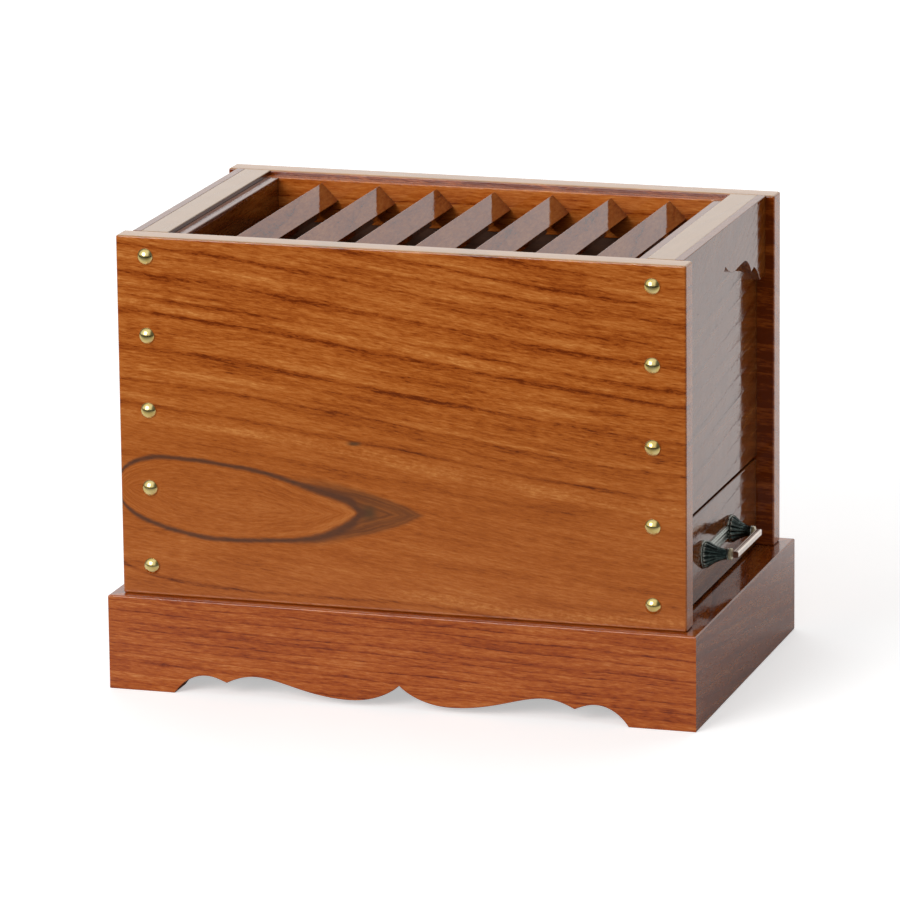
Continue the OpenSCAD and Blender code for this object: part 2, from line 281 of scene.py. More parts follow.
def finish_wood(g, colour, pores, fibre, coated=True, rings=0.0, sunk=0.20):
    """Sends a wood's colour, pores and fibre to the shader, under a clear coat or bare. The coat sinks
    a little over open pores, and by sunk over the growth lines, where the pores are large."""
    shader = g.shader
    flecks = flecks_of(g, pores)
    g.feed(shader.inputs["Base Color"], colour)
    g.feed(shader.inputs["Roughness"], fibre * 0.15 + (0.38 if coated else 0.55))
    g.feed(shader.inputs["Normal"], g.bump(1.0 - flecks * 0.8 + fibre * 0.25, 0.05))
    shader.inputs["Specular IOR Level"].default_value = 0.0 if coated else 0.35
    if coated:
        x, y, z = g.place()
        ripple = g.noise(x * 0.05, y * 0.05, z * 0.05, detail=2.0)
        shader.inputs["Coat Weight"].default_value = 1.0
        shader.inputs["Coat Roughness"].default_value = COAT_ROUGHNESS
        shader.inputs["Coat IOR"].default_value = COAT_IOR
        open_pores = flecks * 0.10 + g.ease(fibre, 0.42, 0.58) * rings * sunk
        g.feed(shader.inputs["Coat Normal"], g.bump(ripple - open_pores, 0.12))
    return g.material


def plain_wood(name, palette, axes, pitch=9.0, slope=0.0, ring_tilt=0.0, coated=True, contrast=1.0,
               offset=0.0, depth=1.0, inner_face=None, sunk=0.20):
    """Straight-grained wood. axes are the frame's axes along the fibres, across them and through the
    board; slope tilts the grain on the face and ring_tilt tilts the rings through the thickness.
    depth multiplies the colours; below 1 it is painted shade, for boards that the light reaches less.
    sunk is how far the coat sinks over a growth line. inner_face is how far out a board's inner face
    lies: that face gets painted shade, darker, and the top edge a painted highlight, paler."""
    # depth below 1 is painted shade: a darker copy of the palette
    palette = tuple((at, tuple(channel * depth for channel in colour)) for at, colour in palette)
    g = Graph(name)
    place = g.place()
    along, across, third = (place["XYZ".index(axis)] for axis in axes)
    across = across - along * slope + third * ring_tilt + offset
    across = warped(g, along, across, third)
    streaks, pores, fibre = fibres(g, along, across, third)
    rings = even_rings(g, across, pitch)
    tone = MIDDLE_TONE + figure(g, streaks, pores, fibre, contrast) - rings * (0.50 * contrast)
    # Painted shade on the inner face, which lies in the box's shadow
    if inner_face:
        tone = tone - g.ease(third.abs(), inner_face + 0.5, inner_face) * 0.45
    colour = g.ramp(tone.clamp(), palette)
    if inner_face:
        # Painted highlight: the top edge is made paler
        colour = painted_top_highlight(g, colour, place[2])
    return finish_wood(g, colour, pores, fibre, coated, rings, sunk)


# The front board's growth lines: (height at which a line starts, darkness, fade above, fade below)
GROWTH_LINES = (
    (302.0, 0.8, 1.2, 3.0), (290.5, 0.9, 1.2, 2.5), (281.0, 0.5, 1.0, 1.6), (272.0, 0.85, 1.2, 2.6),
    (255.0, 1.0, 1.4, 3.2), (241.0, 0.75, 0.9, 1.6), (232.0, 1.0, 1.2, 2.4), (221.0, 0.3, 1.0, 1.6),
    (210.0, 0.9, 1.4, 3.4), (190.5, 0.75, 1.0, 2.2), (176.0, 0.8, 1.0, 2.2), (157.0, 0.25, 1.5, 2.5),
)
# The same lines again, fainter and broader: the shade that each has around it
LINE_SHADES = tuple((at, dark * 0.34, above * 2.2, below * 3.6) for at, dark, above, below in GROWTH_LINES)
LINES_LOW = 140.0
LINES_HIGH = 320.0
SMOKE = (0.105, 0.036, 0.014)
EMBER = (0.215, 0.068, 0.017)
HEARTWOOD = (0.075, 0.040, 0.018)
OVAL_LINE = (0.095, 0.036, 0.018)


def growth_level(g, x, y, z):
    """Which growth line a place is on: its height with the lines' fall to the right taken out."""
    fall = 19.0 + x * 0.075 + g.math("SINE", x * (math.pi / 340.0)) * 7.0
    return warped(g, x, z + fall, y, sway=1.6, jitter=0.6)


def growth_darkness(g, level, fibre):
    """How much the growth lines, their shades and the small lines between them darken the tone."""
    lines = listed_rings(g, level, GROWTH_LINES, LINES_LOW, LINES_HIGH)
    shades = listed_rings(g, level, LINE_SHADES, LINES_LOW, LINES_HIGH)
    small = even_rings(g, level + 3.0, 6.5) * g.ease(level, 165.0, 205.0)
    small = small * g.ease(fibre, 0.35, 0.65) * 0.38
    return lines, (lines * 0.75 + shades + small) * 0.44


def oval(g, x, z, left, right, middle, bulge, tip):
    """How far a place is outside an oval that is blunt at its left end and pointed at its right."""
    t = g.math("MAXIMUM", (x - left) / (right - left), 0.0001)
    t = g.math("MINIMUM", t, 0.9999)
    half = t.power(0.38) * (1.0 - t).power(tip) * bulge
    beyond = g.math("MAXIMUM", g.math("MAXIMUM", x - right, left - x), 0.0)
    return (z - middle).abs() - half + beyond


def golden_streaks(g, x, z, level, above_line):
    """How much the golden streaks lighten the tone; they are speckled across the grain."""
    speckle = 0.55 + g.ease(g.noise(x * 0.30, z * 0.55, 2.0, detail=2.0), 0.42, 0.62) * 0.75
    long = g.ease((level - 169.0).abs(), 6.5, 1.5) * 0.20 + g.ease((level - 236.5).abs(), 4.0, 0.5) * 0.16
    left = g.ease((level - 265.0).abs(), 6.0, 1.0) * g.ease(x, -100.0, -160.0) * 0.12
    low = g.ease((above_line - 5.0).abs(), 6.5, 0.0) * g.ease(x, -30.0, 40.0) * 0.30
    return (long + left + low) * speckle


def oval_tone(g, inner, tip):
    """The golden line inside the oval's edge, and the dark echoes of the edge near its tip."""
    golden = g.ease((inner + 2.6).abs(), 2.2, 0.3) * 0.14
    echo = g.ease((inner + 6.5).abs(), 1.5, 0.1) + g.ease((inner + 15.0).abs(), 1.8, 0.2) * 0.7
    return golden - echo * tip * 0.24


def paint_oval(g, colour, x, z, inner, outer, ragged, fibre, tip):
    """Adds the oval's smoky tip, its dark heart, a lone fleck above it, and its edge line."""
    flame = g.ease(outer, 1.2, -3.0) * g.ease(inner, -0.5, 1.5) * tip
    layers = g.ease(g.noise(x * 0.02, outer * 0.45, 8.0, detail=3.0), 0.35, 0.65)
    colour = g.mix(flame * 0.85, colour, g.mix(layers, SMOKE, EMBER))
    heart = g.ease((x + 20.0).abs(), 8.0, 1.0) * g.ease((z - 117.5).abs(), 7.0, 0.5)
    fleck = g.ease((x + 28.0 + ragged).abs(), 6.0, 1.0) * g.ease((z - 159.0).abs(), 2.0, 0.3)
    colour = g.mix(g.math("MAXIMUM", heart, fleck) * 0.85, colour, HEARTWOOD)
    line_w = 1.7 + g.ease(x, -80.0, -25.0) * 2.4
    line = g.ease((inner - line_w * 0.75).abs() / line_w, 1.45, 0.15)
    return g.mix(line * (0.92 + (fibre - 0.5) * 0.8), colour, OVAL_LINE)


def front_board_wood():
    """The front board's own figure: long growth lines that fall gently to the right, and below them
    a closed oval with a pointed, dark right tip."""
    g = Graph("zelkova_front")
    x, y, z = g.place()
    level = growth_level(g, x, y, z)
    ragged = (g.noise(x * 0.05, z * 0.12) - 0.5) * 2.0 + (g.noise(x * 0.2, z * 0.7) - 0.5) * 1.2

    middle = 117.4 + g.ease(x, -90.0, -185.0) * 7.0 - g.ease((x + 55.0).abs(), 40.0, 0.0) * 2.6
    inner = oval(g, x, z, -175.5, -27.0, middle, bulge=43.5, tip=0.66) + ragged
    outer = oval(g, x, z, -190.0, 15.0, 117.5 + x * 0.03, bulge=60.0, tip=0.80) + ragged
    inside = g.ease(inner, 0.4, -0.4)
    streaks, pores, fibre = fibres(g, x, level * (1.0 - inside) + inner * inside, y)
    lines, darkness = growth_darkness(g, level, fibre)

    # A lower line that sweeps down from the left
    sweep = 64.0 + g.math("EXPONENT", (x + 170.0) / -28.0) * 11.0 - g.ease(x, 0.0, 80.0) * 6.0
    above_line = z - sweep + ragged * 0.8
    darkness = darkness + g.ease(above_line.abs(), 1.9, 0.2) * 0.34

    patches = g.noise(x * 0.012, z * 0.02, 5.0, detail=2.0)
    lively = 0.90 + g.ease(level, 150.0, 215.0) * 0.35
    tip = g.ease(x, -75.0, -25.0)
    tone = MIDDLE_TONE - 0.01 + figure(g, streaks, pores, fibre) * lively + (patches - 0.5) * 0.35
    tone = tone + golden_streaks(g, x, z, level, above_line) - darkness + oval_tone(g, inner, tip)
    tone = tone.clamp()
    colour = g.mix(g.ease(z, 110.0, 240.0), g.ramp(tone, LOWER_ORANGE), g.ramp(tone, ORANGE))
    colour = paint_oval(g, colour, x, z, inner, outer, ragged, fibre, tip)
    # The top edge gets a painted highlight
    return finish_wood(g, painted_top_highlight(g, colour, z), pores, fibre, rings=lines, sunk=0.06)


# ---------------------------------------------------------------- metals


def metal(name, dark, light, roughness, cell=3.0, worn=None):
    """A metal whose colour and gloss drift between two states in patches of about cell mm."""
    g = Graph(name)
    x, y, z = g.place()
    patch = g.noise(x / cell, y / cell, z / cell, detail=4.0, roughness=0.6)
    fine = g.noise(x * 4.0, y * 4.0, z * 4.0, detail=2.0)
    colour = g.mix(g.ease(patch, 0.35, 0.65), dark, light)
    if worn:
        pointed = g.node("ShaderNodeNewGeometry").outputs["Pointiness"]
        colour = g.mix(g.ease(pointed, 0.505, 0.56) * 0.6, colour, worn)
    g.feed(g.shader.inputs["Base Color"], colour)
    g.feed(g.shader.inputs["Roughness"], patch * 0.16 + (roughness - 0.08))
    g.feed(g.shader.inputs["Normal"], g.bump(fine, 0.012))
    g.shader.inputs["Metallic"].default_value = 1.0
    return g.material


# ---------------------------------------------------------------- meshes


def mesh_object(name, bm, material, body, cad_nodes):
    """Turns a bmesh into a piece of the object that rides on a body and stands for CAD nodes."""
    mesh = bpy.data.meshes.new(name)
    bm.normal_update()
    bm.to_mesh(mesh)
    bm.free()
    for face in mesh.polygons:
        face.use_smooth = True
    piece = bpy.data.objects.new(name, mesh)
    bpy.context.scene.collection.objects.link(piece)
    mesh.materials.append(material)
    normals = piece.modifiers.new("normals", "WEIGHTED_NORMAL")
    normals.keep_sharp = True
    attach(piece, body)
    if cad_nodes:
        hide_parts(*cad_nodes)
    return piece


def mark_sharp(bm, angle=math.radians(40)):
    for edge in bm.edges:
        edge.smooth = len(edge.link_faces) == 2 and edge.calc_face_angle() < angle


def ease_edges(bm, radius_of, segments=3):
    """Rounds each edge by the radius that radius_of gives it, in mm; 0 leaves it sharp."""
    groups = {}
    for edge in bm.edges:
        if len(edge.link_faces) == 2 and edge.calc_face_angle() > math.radians(25):
            groups.setdefault(radius_of(edge), []).append(edge)
    for radius in sorted(groups, reverse=True):
        edges = [e for e in groups[radius] if e.is_valid]
        if radius > 0.0 and edges:
            bmesh.ops.bevel(bm, geom=edges, offset=radius * MM, segments=segments, profile=0.5,
                            affect="EDGES", clamp_overlap=True)


def box_mesh(low, high):
    bm = bmesh.new()
    bmesh.ops.create_cube(bm, size=1.0)
    for vert in bm.verts:
        for axis in range(3):
            vert.co[axis] = low[axis] if vert.co[axis] < 0 else high[axis]
    return bm


def eased_board(node, material, radius=0.8, body="case"):
    """A CAD node that is a plain board, made again with eased edges."""
    low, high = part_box(node)
    bm = box_mesh(low, high)
    ease_edges(bm, lambda edge: radius)
    mark_sharp(bm)
    return mesh_object(f"look_{node}", bm, material, body, [node])


def prism(outline, place):
    """A solid between two copies of an outline: place(point, end) gives a corner for end 0 or 1."""
    bm = bmesh.new()
    ends = [[bm.verts.new(place(point, end)) for point in outline] for end in (0, 1)]
    bm.faces.new(reversed(ends[0]))
    bm.faces.new(ends[1])
    count = len(outline)
    for i in range(count):
        j = (i + 1) % count
        bm.faces.new((ends[0][i], ends[0][j], ends[1][j], ends[1][i]))
    bmesh.ops.recalc_face_normals(bm, faces=bm.faces)
    return bm


def bezier(p0, p1, p2, p3, steps=12):
    """Points along a cubic curve, without its first."""
    points = []
    for i in range(1, steps + 1):
        t = i / steps
        s = 1.0 - t
        weights = (s ** 3, 3 * s * s * t, 3 * s * t * t, t ** 3)
        points.append(tuple(sum(w * p[k] for w, p in zip(weights, (p0, p1, p2, p3))) for k in (0, 1)))
    return points


def both_halves(half):
    """A half outline from its outer end to the middle, and its mirror image back out."""
    return half + [(-a, b) for a, b in reversed(half[:-1])]


# ---------------------------------------------------------------- the box's pieces

front_low, front_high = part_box("front_board")
plinth_low, plinth_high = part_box("plinth_front")
PLINTH_X = plinth_high.x
PLINTH_Y = -plinth_low.y
PLINTH_TOP = plinth_high.z
PLINTH_T = plinth_high.y - plinth_low.y

front_wood = front_board_wood()
back_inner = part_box("back_board")[0].y / MM
side_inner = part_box("right_side_panel")[0].x / MM
# The back board's and the side panels' inner faces get painted shade, and their top edges a painted
# highlight. depth below 1 is painted shade: it darkens the side panels, the aprons, the drawer front, the
# plinth's short boards, the slats and the short rails, which the key light reaches less than the front
back_wood = plain_wood("zelkova_back", ORANGE, "XZY", pitch=15.0, slope=-0.08, ring_tilt=0.6,
                       inner_face=back_inner)
side_wood = plain_wood("zelkova_side", ORANGE, "YZX", pitch=12.0, slope=0.10, ring_tilt=0.9, depth=0.48,
                       inner_face=side_inner)
apron_wood = plain_wood("zelkova_apron", ORANGE, "YZX", pitch=7.0, slope=0.45, ring_tilt=0.9, offset=4.0,
                        depth=0.48)
drawer_wood = plain_wood("zelkova_drawer", ORANGE, "YZX", pitch=13.0, slope=0.08, offset=7.0, depth=0.44)
plinth_front_wood = plain_wood("zelkova_plinth_long", RED, "XZY", pitch=5.5, slope=-0.035, ring_tilt=0.5,
                               sunk=0.1)
plinth_side_wood = plain_wood("zelkova_plinth_short", RED, "YZX", pitch=9.0, slope=-0.12, ring_tilt=0.5,
                              depth=0.7)
slat_wood = plain_wood("zelkova_slat", ORANGE, "YZX", pitch=8.0, slope=0.03, ring_tilt=0.7, depth=0.66)
rail_long_wood = plain_wood("zelkova_rail_long", ORANGE, "XZY", pitch=9.0, ring_tilt=0.4)
rail_short_wood = plain_wood("zelkova_rail_short", ORANGE, "YZX", pitch=9.0, ring_tilt=0.4, depth=0.45)
bare_long_wood = plain_wood("bare_long", BARE, "XYZ", pitch=7.0, coated=False, contrast=0.6)
bare_cross_wood = plain_wood("bare_cross", BARE, "YXZ", pitch=7.0, coated=False, contrast=0.6)
inside_shade_wood = plain_wood("painted_inside_shade", INSIDE_SHADE, "XYZ", pitch=7.0, coated=False, contrast=0.6)

eased_board("front_board", front_wood, radius=1.3)
eased_board("back_board", back_wood, radius=1.3)
eased_board("left_side_panel", side_wood, radius=0.5)
eased_board("right_side_panel", side_wood, radius=0.5)
for end in ("front", "back"):
    eased_board(f"lattice_rail_{end}", rail_long_wood, radius=0.5)
for end in ("left", "right"):
    eased_board(f"lattice_rail_{end}", rail_short_wood, radius=0.5)
eased_board("drawer_front", drawer_wood, radius=0.8, body="drawer")


def apron_outline(inner_y):
    """[y, height above the horn] of an apron's lower edge, in mm, as in the CAD."""
    half = [(inner_y, 0.0), (82.0, 0.0)]
    half += bezier((82.0, 0.0), (78.0, 4.0), (72.0, 10.8), (66.0, 10.8))
    half += [(61.0, 9.6)]
    half += bezier((61.0, 9.6), (56.0, 15.0), (51.0, 19.4), (44.0, 19.4))
    half += bezier((44.0, 19.4), (35.0, 19.4), (29.0, 18.6), (21.0, 18.2))
    half += bezier((21.0, 18.2), (14.0, 18.6), (6.0, 21.0), (0.0, 25.5))
    return both_halves(half)


def apron(node, side):
    low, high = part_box(node)
    outline = apron_outline(high.y / MM)
    outline += [(low.y / MM, (high.z - low.z) / MM), (high.y / MM, (high.z - low.z) / MM)]
    outer, inner = (high.x, low.x) if side > 0 else (low.x, high.x)

    def corner(point, end):
        return (inner if end == 0 else outer, point[0] * MM, low.z + point[1] * MM)

    def radius_of(edge):
        on_outer = all(abs(v.co.x - outer) < 1e-6 for v in edge.verts)
        return 0.5 if on_outer else 0.0

    bm = prism(outline, corner)
    ease_edges(bm, radius_of)
    mark_sharp(bm)
    return mesh_object(f"look_{node}", bm, apron_wood, "case", [node])


apron("left_apron", -1)
apron("right_apron", 1)


def plinth_outline():
    """[x, z] of the scalloped lower edge, in mm, as in the CAD."""
    foot = PLINTH_X / MM
    half = [(foot, 0.0), (foot - 41.0, 0.0)]
    half += bezier((foot - 41.0, 0.0), (137.0, 6.0), (130.0, 12.0), (121.0, 12.0))
    half += bezier((121.0, 12.0), (116.0, 12.0), (112.0, 10.2), (108.0, 8.5))
    half += bezier((108.0, 8.5), (104.5, 10.2), (98.0, 13.5), (90.0, 13.5))
    half += bezier((90.0, 13.5), (74.0, 13.5), (58.0, 3.6), (31.0, 3.6), steps=20)
    half += bezier((31.0, 3.6), (19.0, 3.6), (7.0, 8.0), (0.0, 14.6))
    return both_halves(half)


def plinth_board(node, outline, half_len, face, turn, material):
    """A mitred plinth board, made for the front (-Y) and turned into place about Z."""

    def corner(point, end):
        a, z = point[0] * MM, point[1] * MM
        inset = PLINTH_T if end == 0 and abs(abs(a) - half_len) < 1e-6 else 0.0
        a -= math.copysign(inset, a)
        return (a, -face + (PLINTH_T if end == 0 else 0.0), z)

    def radius_of(edge):
        middle = (edge.verts[0].co + edge.verts[1].co) / 2
        along = edge.verts[1].co - edge.verts[0].co
        if abs(along.z) > 0.02 and abs(along.x) < 1e-6:
            return 0.35
        if abs(along.y) > 1e-6 and abs(abs(middle.x) - half_len) < PLINTH_T:
            return 0.0
        if abs(middle.z - PLINTH_TOP) < 1e-6 and abs(middle.y + face) < 1e-6:
            return 1.0
        if abs(middle.y + face) < 1e-6:
            return 0.6
        return 0.0

    bm = prism(outline, corner)
    ease_edges(bm, radius_of)
    bmesh.ops.transform(bm, matrix=Matrix.Rotation(turn, 4, "Z"), verts=bm.verts)
    mark_sharp(bm)
    return mesh_object(f"look_{node}", bm, material, "case", [node])


scallop = plinth_outline() + [(-PLINTH_X / MM, PLINTH_TOP / MM), (PLINTH_X / MM, PLINTH_TOP / MM)]
straight = [(PLINTH_Y / MM, 0.0), (-PLINTH_Y / MM, 0.0)]
straight += [(-PLINTH_Y / MM, PLINTH_TOP / MM), (PLINTH_Y / MM, PLINTH_TOP / MM)]
plinth_board("plinth_front", scallop, PLINTH_X, PLINTH_Y, 0.0, plinth_front_wood)
plinth_board("plinth_back", scallop, PLINTH_X, PLINTH_Y, math.pi, plinth_front_wood)
plinth_board("plinth_right", straight, PLINTH_Y, PLINTH_X, math.pi / 2, plinth_side_wood)
plinth_board("plinth_left", straight, PLINTH_Y, PLINTH_X, -math.pi / 2, plinth_side_wood)


def slat(node):
    """A square bar turned up on edge, with its arrises only just broken."""
    low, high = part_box(node)
    x, z = (low.x + high.x) / 2, (low.z + high.z) / 2
    half = (high.x - low.x) / 2
    outline = [(half, 0.0), (0.0, half), (-half, 0.0), (0.0, -half)]

    def corner(point, end):
        return (x + point[0], low.y if end == 0 else high.y, z + point[1])

    bm = prism(outline, corner)
    ease_edges(bm, lambda edge: 0.35 if abs(edge.verts[0].co.y - edge.verts[1].co.y) > 0.01 else 0.0)
    mark_sharp(bm)
    return mesh_object(f"look_{node}", bm, slat_wood, "case", [node])


for number in range(1, 8):
    slat(f"slat_{number}")

# ---------------------------------------------------------------- nails

brass = metal("brass", (0.88, 0.66, 0.22), (0.96, 0.80, 0.36), 0.18, cell=5.0)
steel = metal("steel", (0.42, 0.42, 0.43), (0.62, 0.62, 0.63), 0.35, cell=4.0)
NAIL_HEIGHTS = {-1: (76.0, 124.0, 171.5, 217.0, 265.0), 1: (73.0, 120.5, 168.0, 217.0, 264.0)}
NAIL_R = 5.0 * MM


def skin(bm, rings):
    """Joins rings of vertices with faces; a ring of one vertex closes an end."""
    for near, far in zip(rings, rings[1:]):
        steps = max(len(near), len(far))
        for k in range(steps):
            n = (k + 1) % steps
            if len(near) == 1:
                bm.faces.new((near[0], far[n], far[k]))
            elif len(far) == 1:
                bm.faces.new((near[k], near[n], far[0]))
            else:
                bm.faces.new((near[k], near[n], far[n], far[k]))


def lathe(bm, profile, placed, steps=48):
    """Turns (distance along the axis, radius) points about Z; placed(point) puts each in the frame.
    A radius of 0 at an end closes it."""
    rings = []
    for along, radius in profile:
        if radius == 0.0:
            rings.append([bm.verts.new(placed(Vector((0.0, 0.0, along))))])
            continue
        angles = [2.0 * math.pi * k / steps for k in range(steps)]
        points = [Vector((radius * math.cos(a), radius * math.sin(a), along)) for a in angles]
        rings.append([bm.verts.new(placed(point)) for point in points])
    skin(bm, rings)


def nail_dome(head_r, head_h):
    """Profile of a domed head from its underside over the top, with a thin rolled rim."""
    rim = 0.45 * MM
    profile = [(0.0, 0.0), (0.0, head_r - rim), (rim * 0.4, head_r)]
    sphere_r = (head_r ** 2 + (head_h - rim) ** 2) / (2 * (head_h - rim))
    centre = head_h - sphere_r
    top = math.asin(head_r / sphere_r)
    for k in range(12):
        angle = top * (1.0 - k / 12.0)
        profile.append((centre + sphere_r * math.cos(angle), sphere_r * math.sin(angle)))
    profile.append((head_h, 0.0))
    return profile


def nails(node, side):
    low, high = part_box(node)
    board_face = side * abs(front_low.y)
    nail_x = {-1: low.x + NAIL_R, 1: high.x - NAIL_R}
    head_h = abs((high.y if side > 0 else low.y) - board_face)
    bm = bmesh.new()
    for end, heights in NAIL_HEIGHTS.items():
        for height in heights:
            lean = Matrix.Rotation(math.radians(random.uniform(-1.5, 1.5)), 3, "X")
            lean = lean @ Matrix.Rotation(math.radians(random.uniform(-1.5, 1.5)), 3, "Z")
            turn = lean @ Matrix.Rotation(math.radians(-90.0 * side), 3, "X")
            foot = Vector((nail_x[end], board_face, height * MM))
            lathe(bm, nail_dome(NAIL_R, head_h - 0.02 * MM), lambda p: foot + turn @ p)
    bmesh.ops.recalc_face_normals(bm, faces=bm.faces)
    mark_sharp(bm, math.radians(60))
    return mesh_object(f"look_{node}", bm, brass, "case", [node])


nails("front_nails", -1)
nails("back_nails", 1)

# ---------------------------------------------------------------- the pull

patina = metal("patina", (0.014, 0.022, 0.021), (0.055, 0.080, 0.074), 0.26, cell=2.2,
               worn=(0.42, 0.43, 0.38))
bright_bronze = metal("bright_bronze", (0.20, 0.15, 0.13), (0.46, 0.37, 0.32), 0.24, cell=2.5,
                      worn=(0.82, 0.72, 0.64))
old_gold = metal("old_gold", (0.36, 0.31, 0.20), (0.55, 0.49, 0.34), 0.34, cell=2.0)

drawer_low, drawer_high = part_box("drawer_front")
plate_low, plate_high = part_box("pull_plate")
bar_low, bar_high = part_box("pull_bar")
FACE_X = drawer_high.x
PULL_Z = (bar_low.z + bar_high.z) / 2
FOOT_R = (plate_high.z - plate_low.z) / 2
FOOT_Y = plate_high.y - FOOT_R
# As in the CAD: a post's lean, its neck's radius, the plate's thickness, and where the neck ends
LEAN = math.tan(math.radians(16.0))
NECK_R = 3.2 * MM
PLATE_T = 1.2 * MM
NECK_X = 13.65 * MM
BAR_X = bar_low.x - FACE_X
FLUTES = 14


def leaning(side):
    """Puts a point of a lathe (its axis along Z, from the drawer's face) onto a post."""

    def placed(point):
        y = side * (FOOT_Y - point.z * LEAN) + point.x
        return Vector((FACE_X + point.z, y, PULL_Z + point.y))

    return placed


def fluted_post(side):
    """A trumpet whose flare is cut into petals that die away at the neck."""
    bm = bmesh.new()
    steps = FLUTES * 8
    foot_r = FOOT_R - 0.3 * MM
    rows = [(PLATE_T, 0.0, 0.0), (PLATE_T, foot_r - 0.5 * MM, 0.3), (PLATE_T + 0.3 * MM, foot_r, 0.5)]
    rows += [(PLATE_T + 1.0 * MM, foot_r, 0.8)]
    start = PLATE_T + 1.5 * MM
    for k in range(15):
        t = k / 14.0
        radius = NECK_R + (foot_r - 0.35 * MM - NECK_R) * (1.0 - t) ** 1.8
        rows.append((start + (NECK_X - start) * t, radius, (1.0 - t) ** 0.7))
    rows += [(NECK_X + 0.4 * MM, NECK_R * 1.12, 0.0), (NECK_X + 0.8 * MM, NECK_R * 1.05, 0.0)]
    rows += [(NECK_X + 0.9 * MM, 0.0, 0.0)]
    placed = leaning(side)
    rings = []
    for along, radius, depth in rows:
        if radius == 0.0:
            rings.append([bm.verts.new(placed(Vector((0.0, 0.0, along))))])
            continue
        ring = []
        for k in range(steps):
            angle = 2.0 * math.pi * k / steps
            petal = abs(math.sin(angle * FLUTES / 2.0)) ** 0.8
            r = radius * (1.0 - 0.13 * depth * (1.0 - petal))
            ring.append(bm.verts.new(placed(Vector((r * math.cos(angle), r * math.sin(angle), along)))))
        rings.append(ring)
    skin(bm, rings)
    bmesh.ops.recalc_face_normals(bm, faces=bm.faces)
    mark_sharp(bm, math.radians(50))
    node = "pull_post_back" if side > 0 else "pull_post_front"
    return mesh_object(f"look_{node}", bm, patina, "drawer", [node])


def collar(side):
    """Two beads with a waist between them, from the neck to the grip bar."""
    bm = bmesh.new()
    start, stop = NECK_X + 0.9 * MM, BAR_X
    r = 3.6 * MM
    profile = [(start, 0.0), (start, r * 0.8)]
    for bead in (0.0, 0.5):
        for k in range(1, 8):
            t = k / 8.0
            along = start + (stop - start) * (bead + t * 0.5)
            profile.append((along, r * (0.84 + 0.16 * math.sin(math.pi * t))))
    profile += [(stop, r * 0.8), (stop, 0.0)]
    lathe(bm, profile, leaning(side))
    bmesh.ops.recalc_face_normals(bm, faces=bm.faces)
    mark_sharp(bm, math.radians(50))
    node = "pull_collar_back" if side > 0 else "pull_collar_front"
    return mesh_object(f"look_{node}", bm, old_gold, "drawer", [node])


def grip_bar():
    """A square bar with bevelled arrises and two fine lines cut along each of its four faces."""
    side = bar_high.x - bar_low.x
    half, cut, groove = side / 2, side / 2 - 0.7 * MM, 0.14 * MM
    flat = [(-cut, 0.0), (-cut * 0.62, 0.0), (-cut * 0.52, -groove), (-cut * 0.42, 0.0)]
    flat += [(-a, b) for a, b in reversed(flat)]
    outline = []
    for quarter in range(4):
        turn = Matrix.Rotation(-quarter * math.pi / 2, 2)
        outline += [tuple(turn @ Vector((a, half + b))) for a, b in flat]
    x, z = (bar_low.x + bar_high.x) / 2, PULL_Z

    def corner(point, end):
        return (x + point[0], bar_low.y if end == 0 else bar_high.y, z + point[1])

    bm = prism(outline, corner)
    ends = [e for e in bm.edges if abs(e.verts[0].co.y - e.verts[1].co.y) < 1e-7]
    bmesh.ops.bevel(bm, geom=ends, offset=0.35 * MM, segments=2, profile=0.5, affect="EDGES",
                    clamp_overlap=True)
    mark_sharp(bm, math.radians(35))
    return mesh_object("look_pull_bar", bm, bright_bronze, "drawer", ["pull_bar"])


def back_plate():
    """Two round feet joined by a strip with three rounded ridges along it."""
    strip_h = 4.2 * MM
    outline = [(-strip_h, 0.9), (-strip_h + 0.5 * MM, 1.25)]
    for k in range(25):
        t = k / 24.0
        outline.append(((-0.80 + 1.60 * t) * strip_h, 1.0 + 1.0 * abs(math.sin(3 * math.pi * t)) ** 0.7))
    outline += [(strip_h - 0.5 * MM, 1.25), (strip_h, 0.9), (strip_h, 0.0), (-strip_h, 0.0)]
    reach = FOOT_Y - FOOT_R * 0.8

    def corner(point, end):
        y = -reach if end == 0 else reach
        return (FACE_X + min(point[1] * MM, plate_high.x - FACE_X), y, PULL_Z + point[0])

    bm = prism(outline, corner)
    for side in (-1, 1):
        foot = Vector((FACE_X, side * FOOT_Y, PULL_Z))
        r = FOOT_R
        disc = [(0.0, 0.0), (0.0, r), (0.7 * MM, r), (1.05 * MM, r - 0.3 * MM), (PLATE_T, r - 0.7 * MM)]
        disc += [(PLATE_T, 0.0)]
        lathe(bm, disc, lambda p: foot + Vector((p.z, p.x, p.y)), steps=64)
    bmesh.ops.recalc_face_normals(bm, faces=bm.faces)
    mark_sharp(bm, math.radians(50))
    return mesh_object("look_pull_plate", bm, patina, "drawer", ["pull_plate"])


for side in (-1, 1):
    fluted_post(side)
    collar(side)
grip_bar()
back_plate()

# ---------------------------------------------------------------- CAD nodes that stay

# The bottom, the tilt rails, the cleats and the drawer's bottom are darkened with painted shade, as the
# box's inside lies in shadow
STAYING = (
    (inside_shade_wood, "bottom_board drawer_bottom tilt_rail_front tilt_rail_back"),
    (inside_shade_wood, "cleat_front cleat_back cleat_left cleat_right"),
    (bare_long_wood, "runner_front runner_back drawer_side_front drawer_side_back"),
    (bare_long_wood, "corner_block_1 corner_block_2 corner_block_3 corner_block_4"),
    (bare_cross_wood, "drawer_rear drawer_pegs"),
    (steel, "bottom_screws pull_screws"),
)
for material, names in STAYING:
    for node in names.split():
        kept = frame["nodes"][node]
        kept.data.materials.clear()
        kept.data.materials.append(material)

# ---------------------------------------------------------------- studio

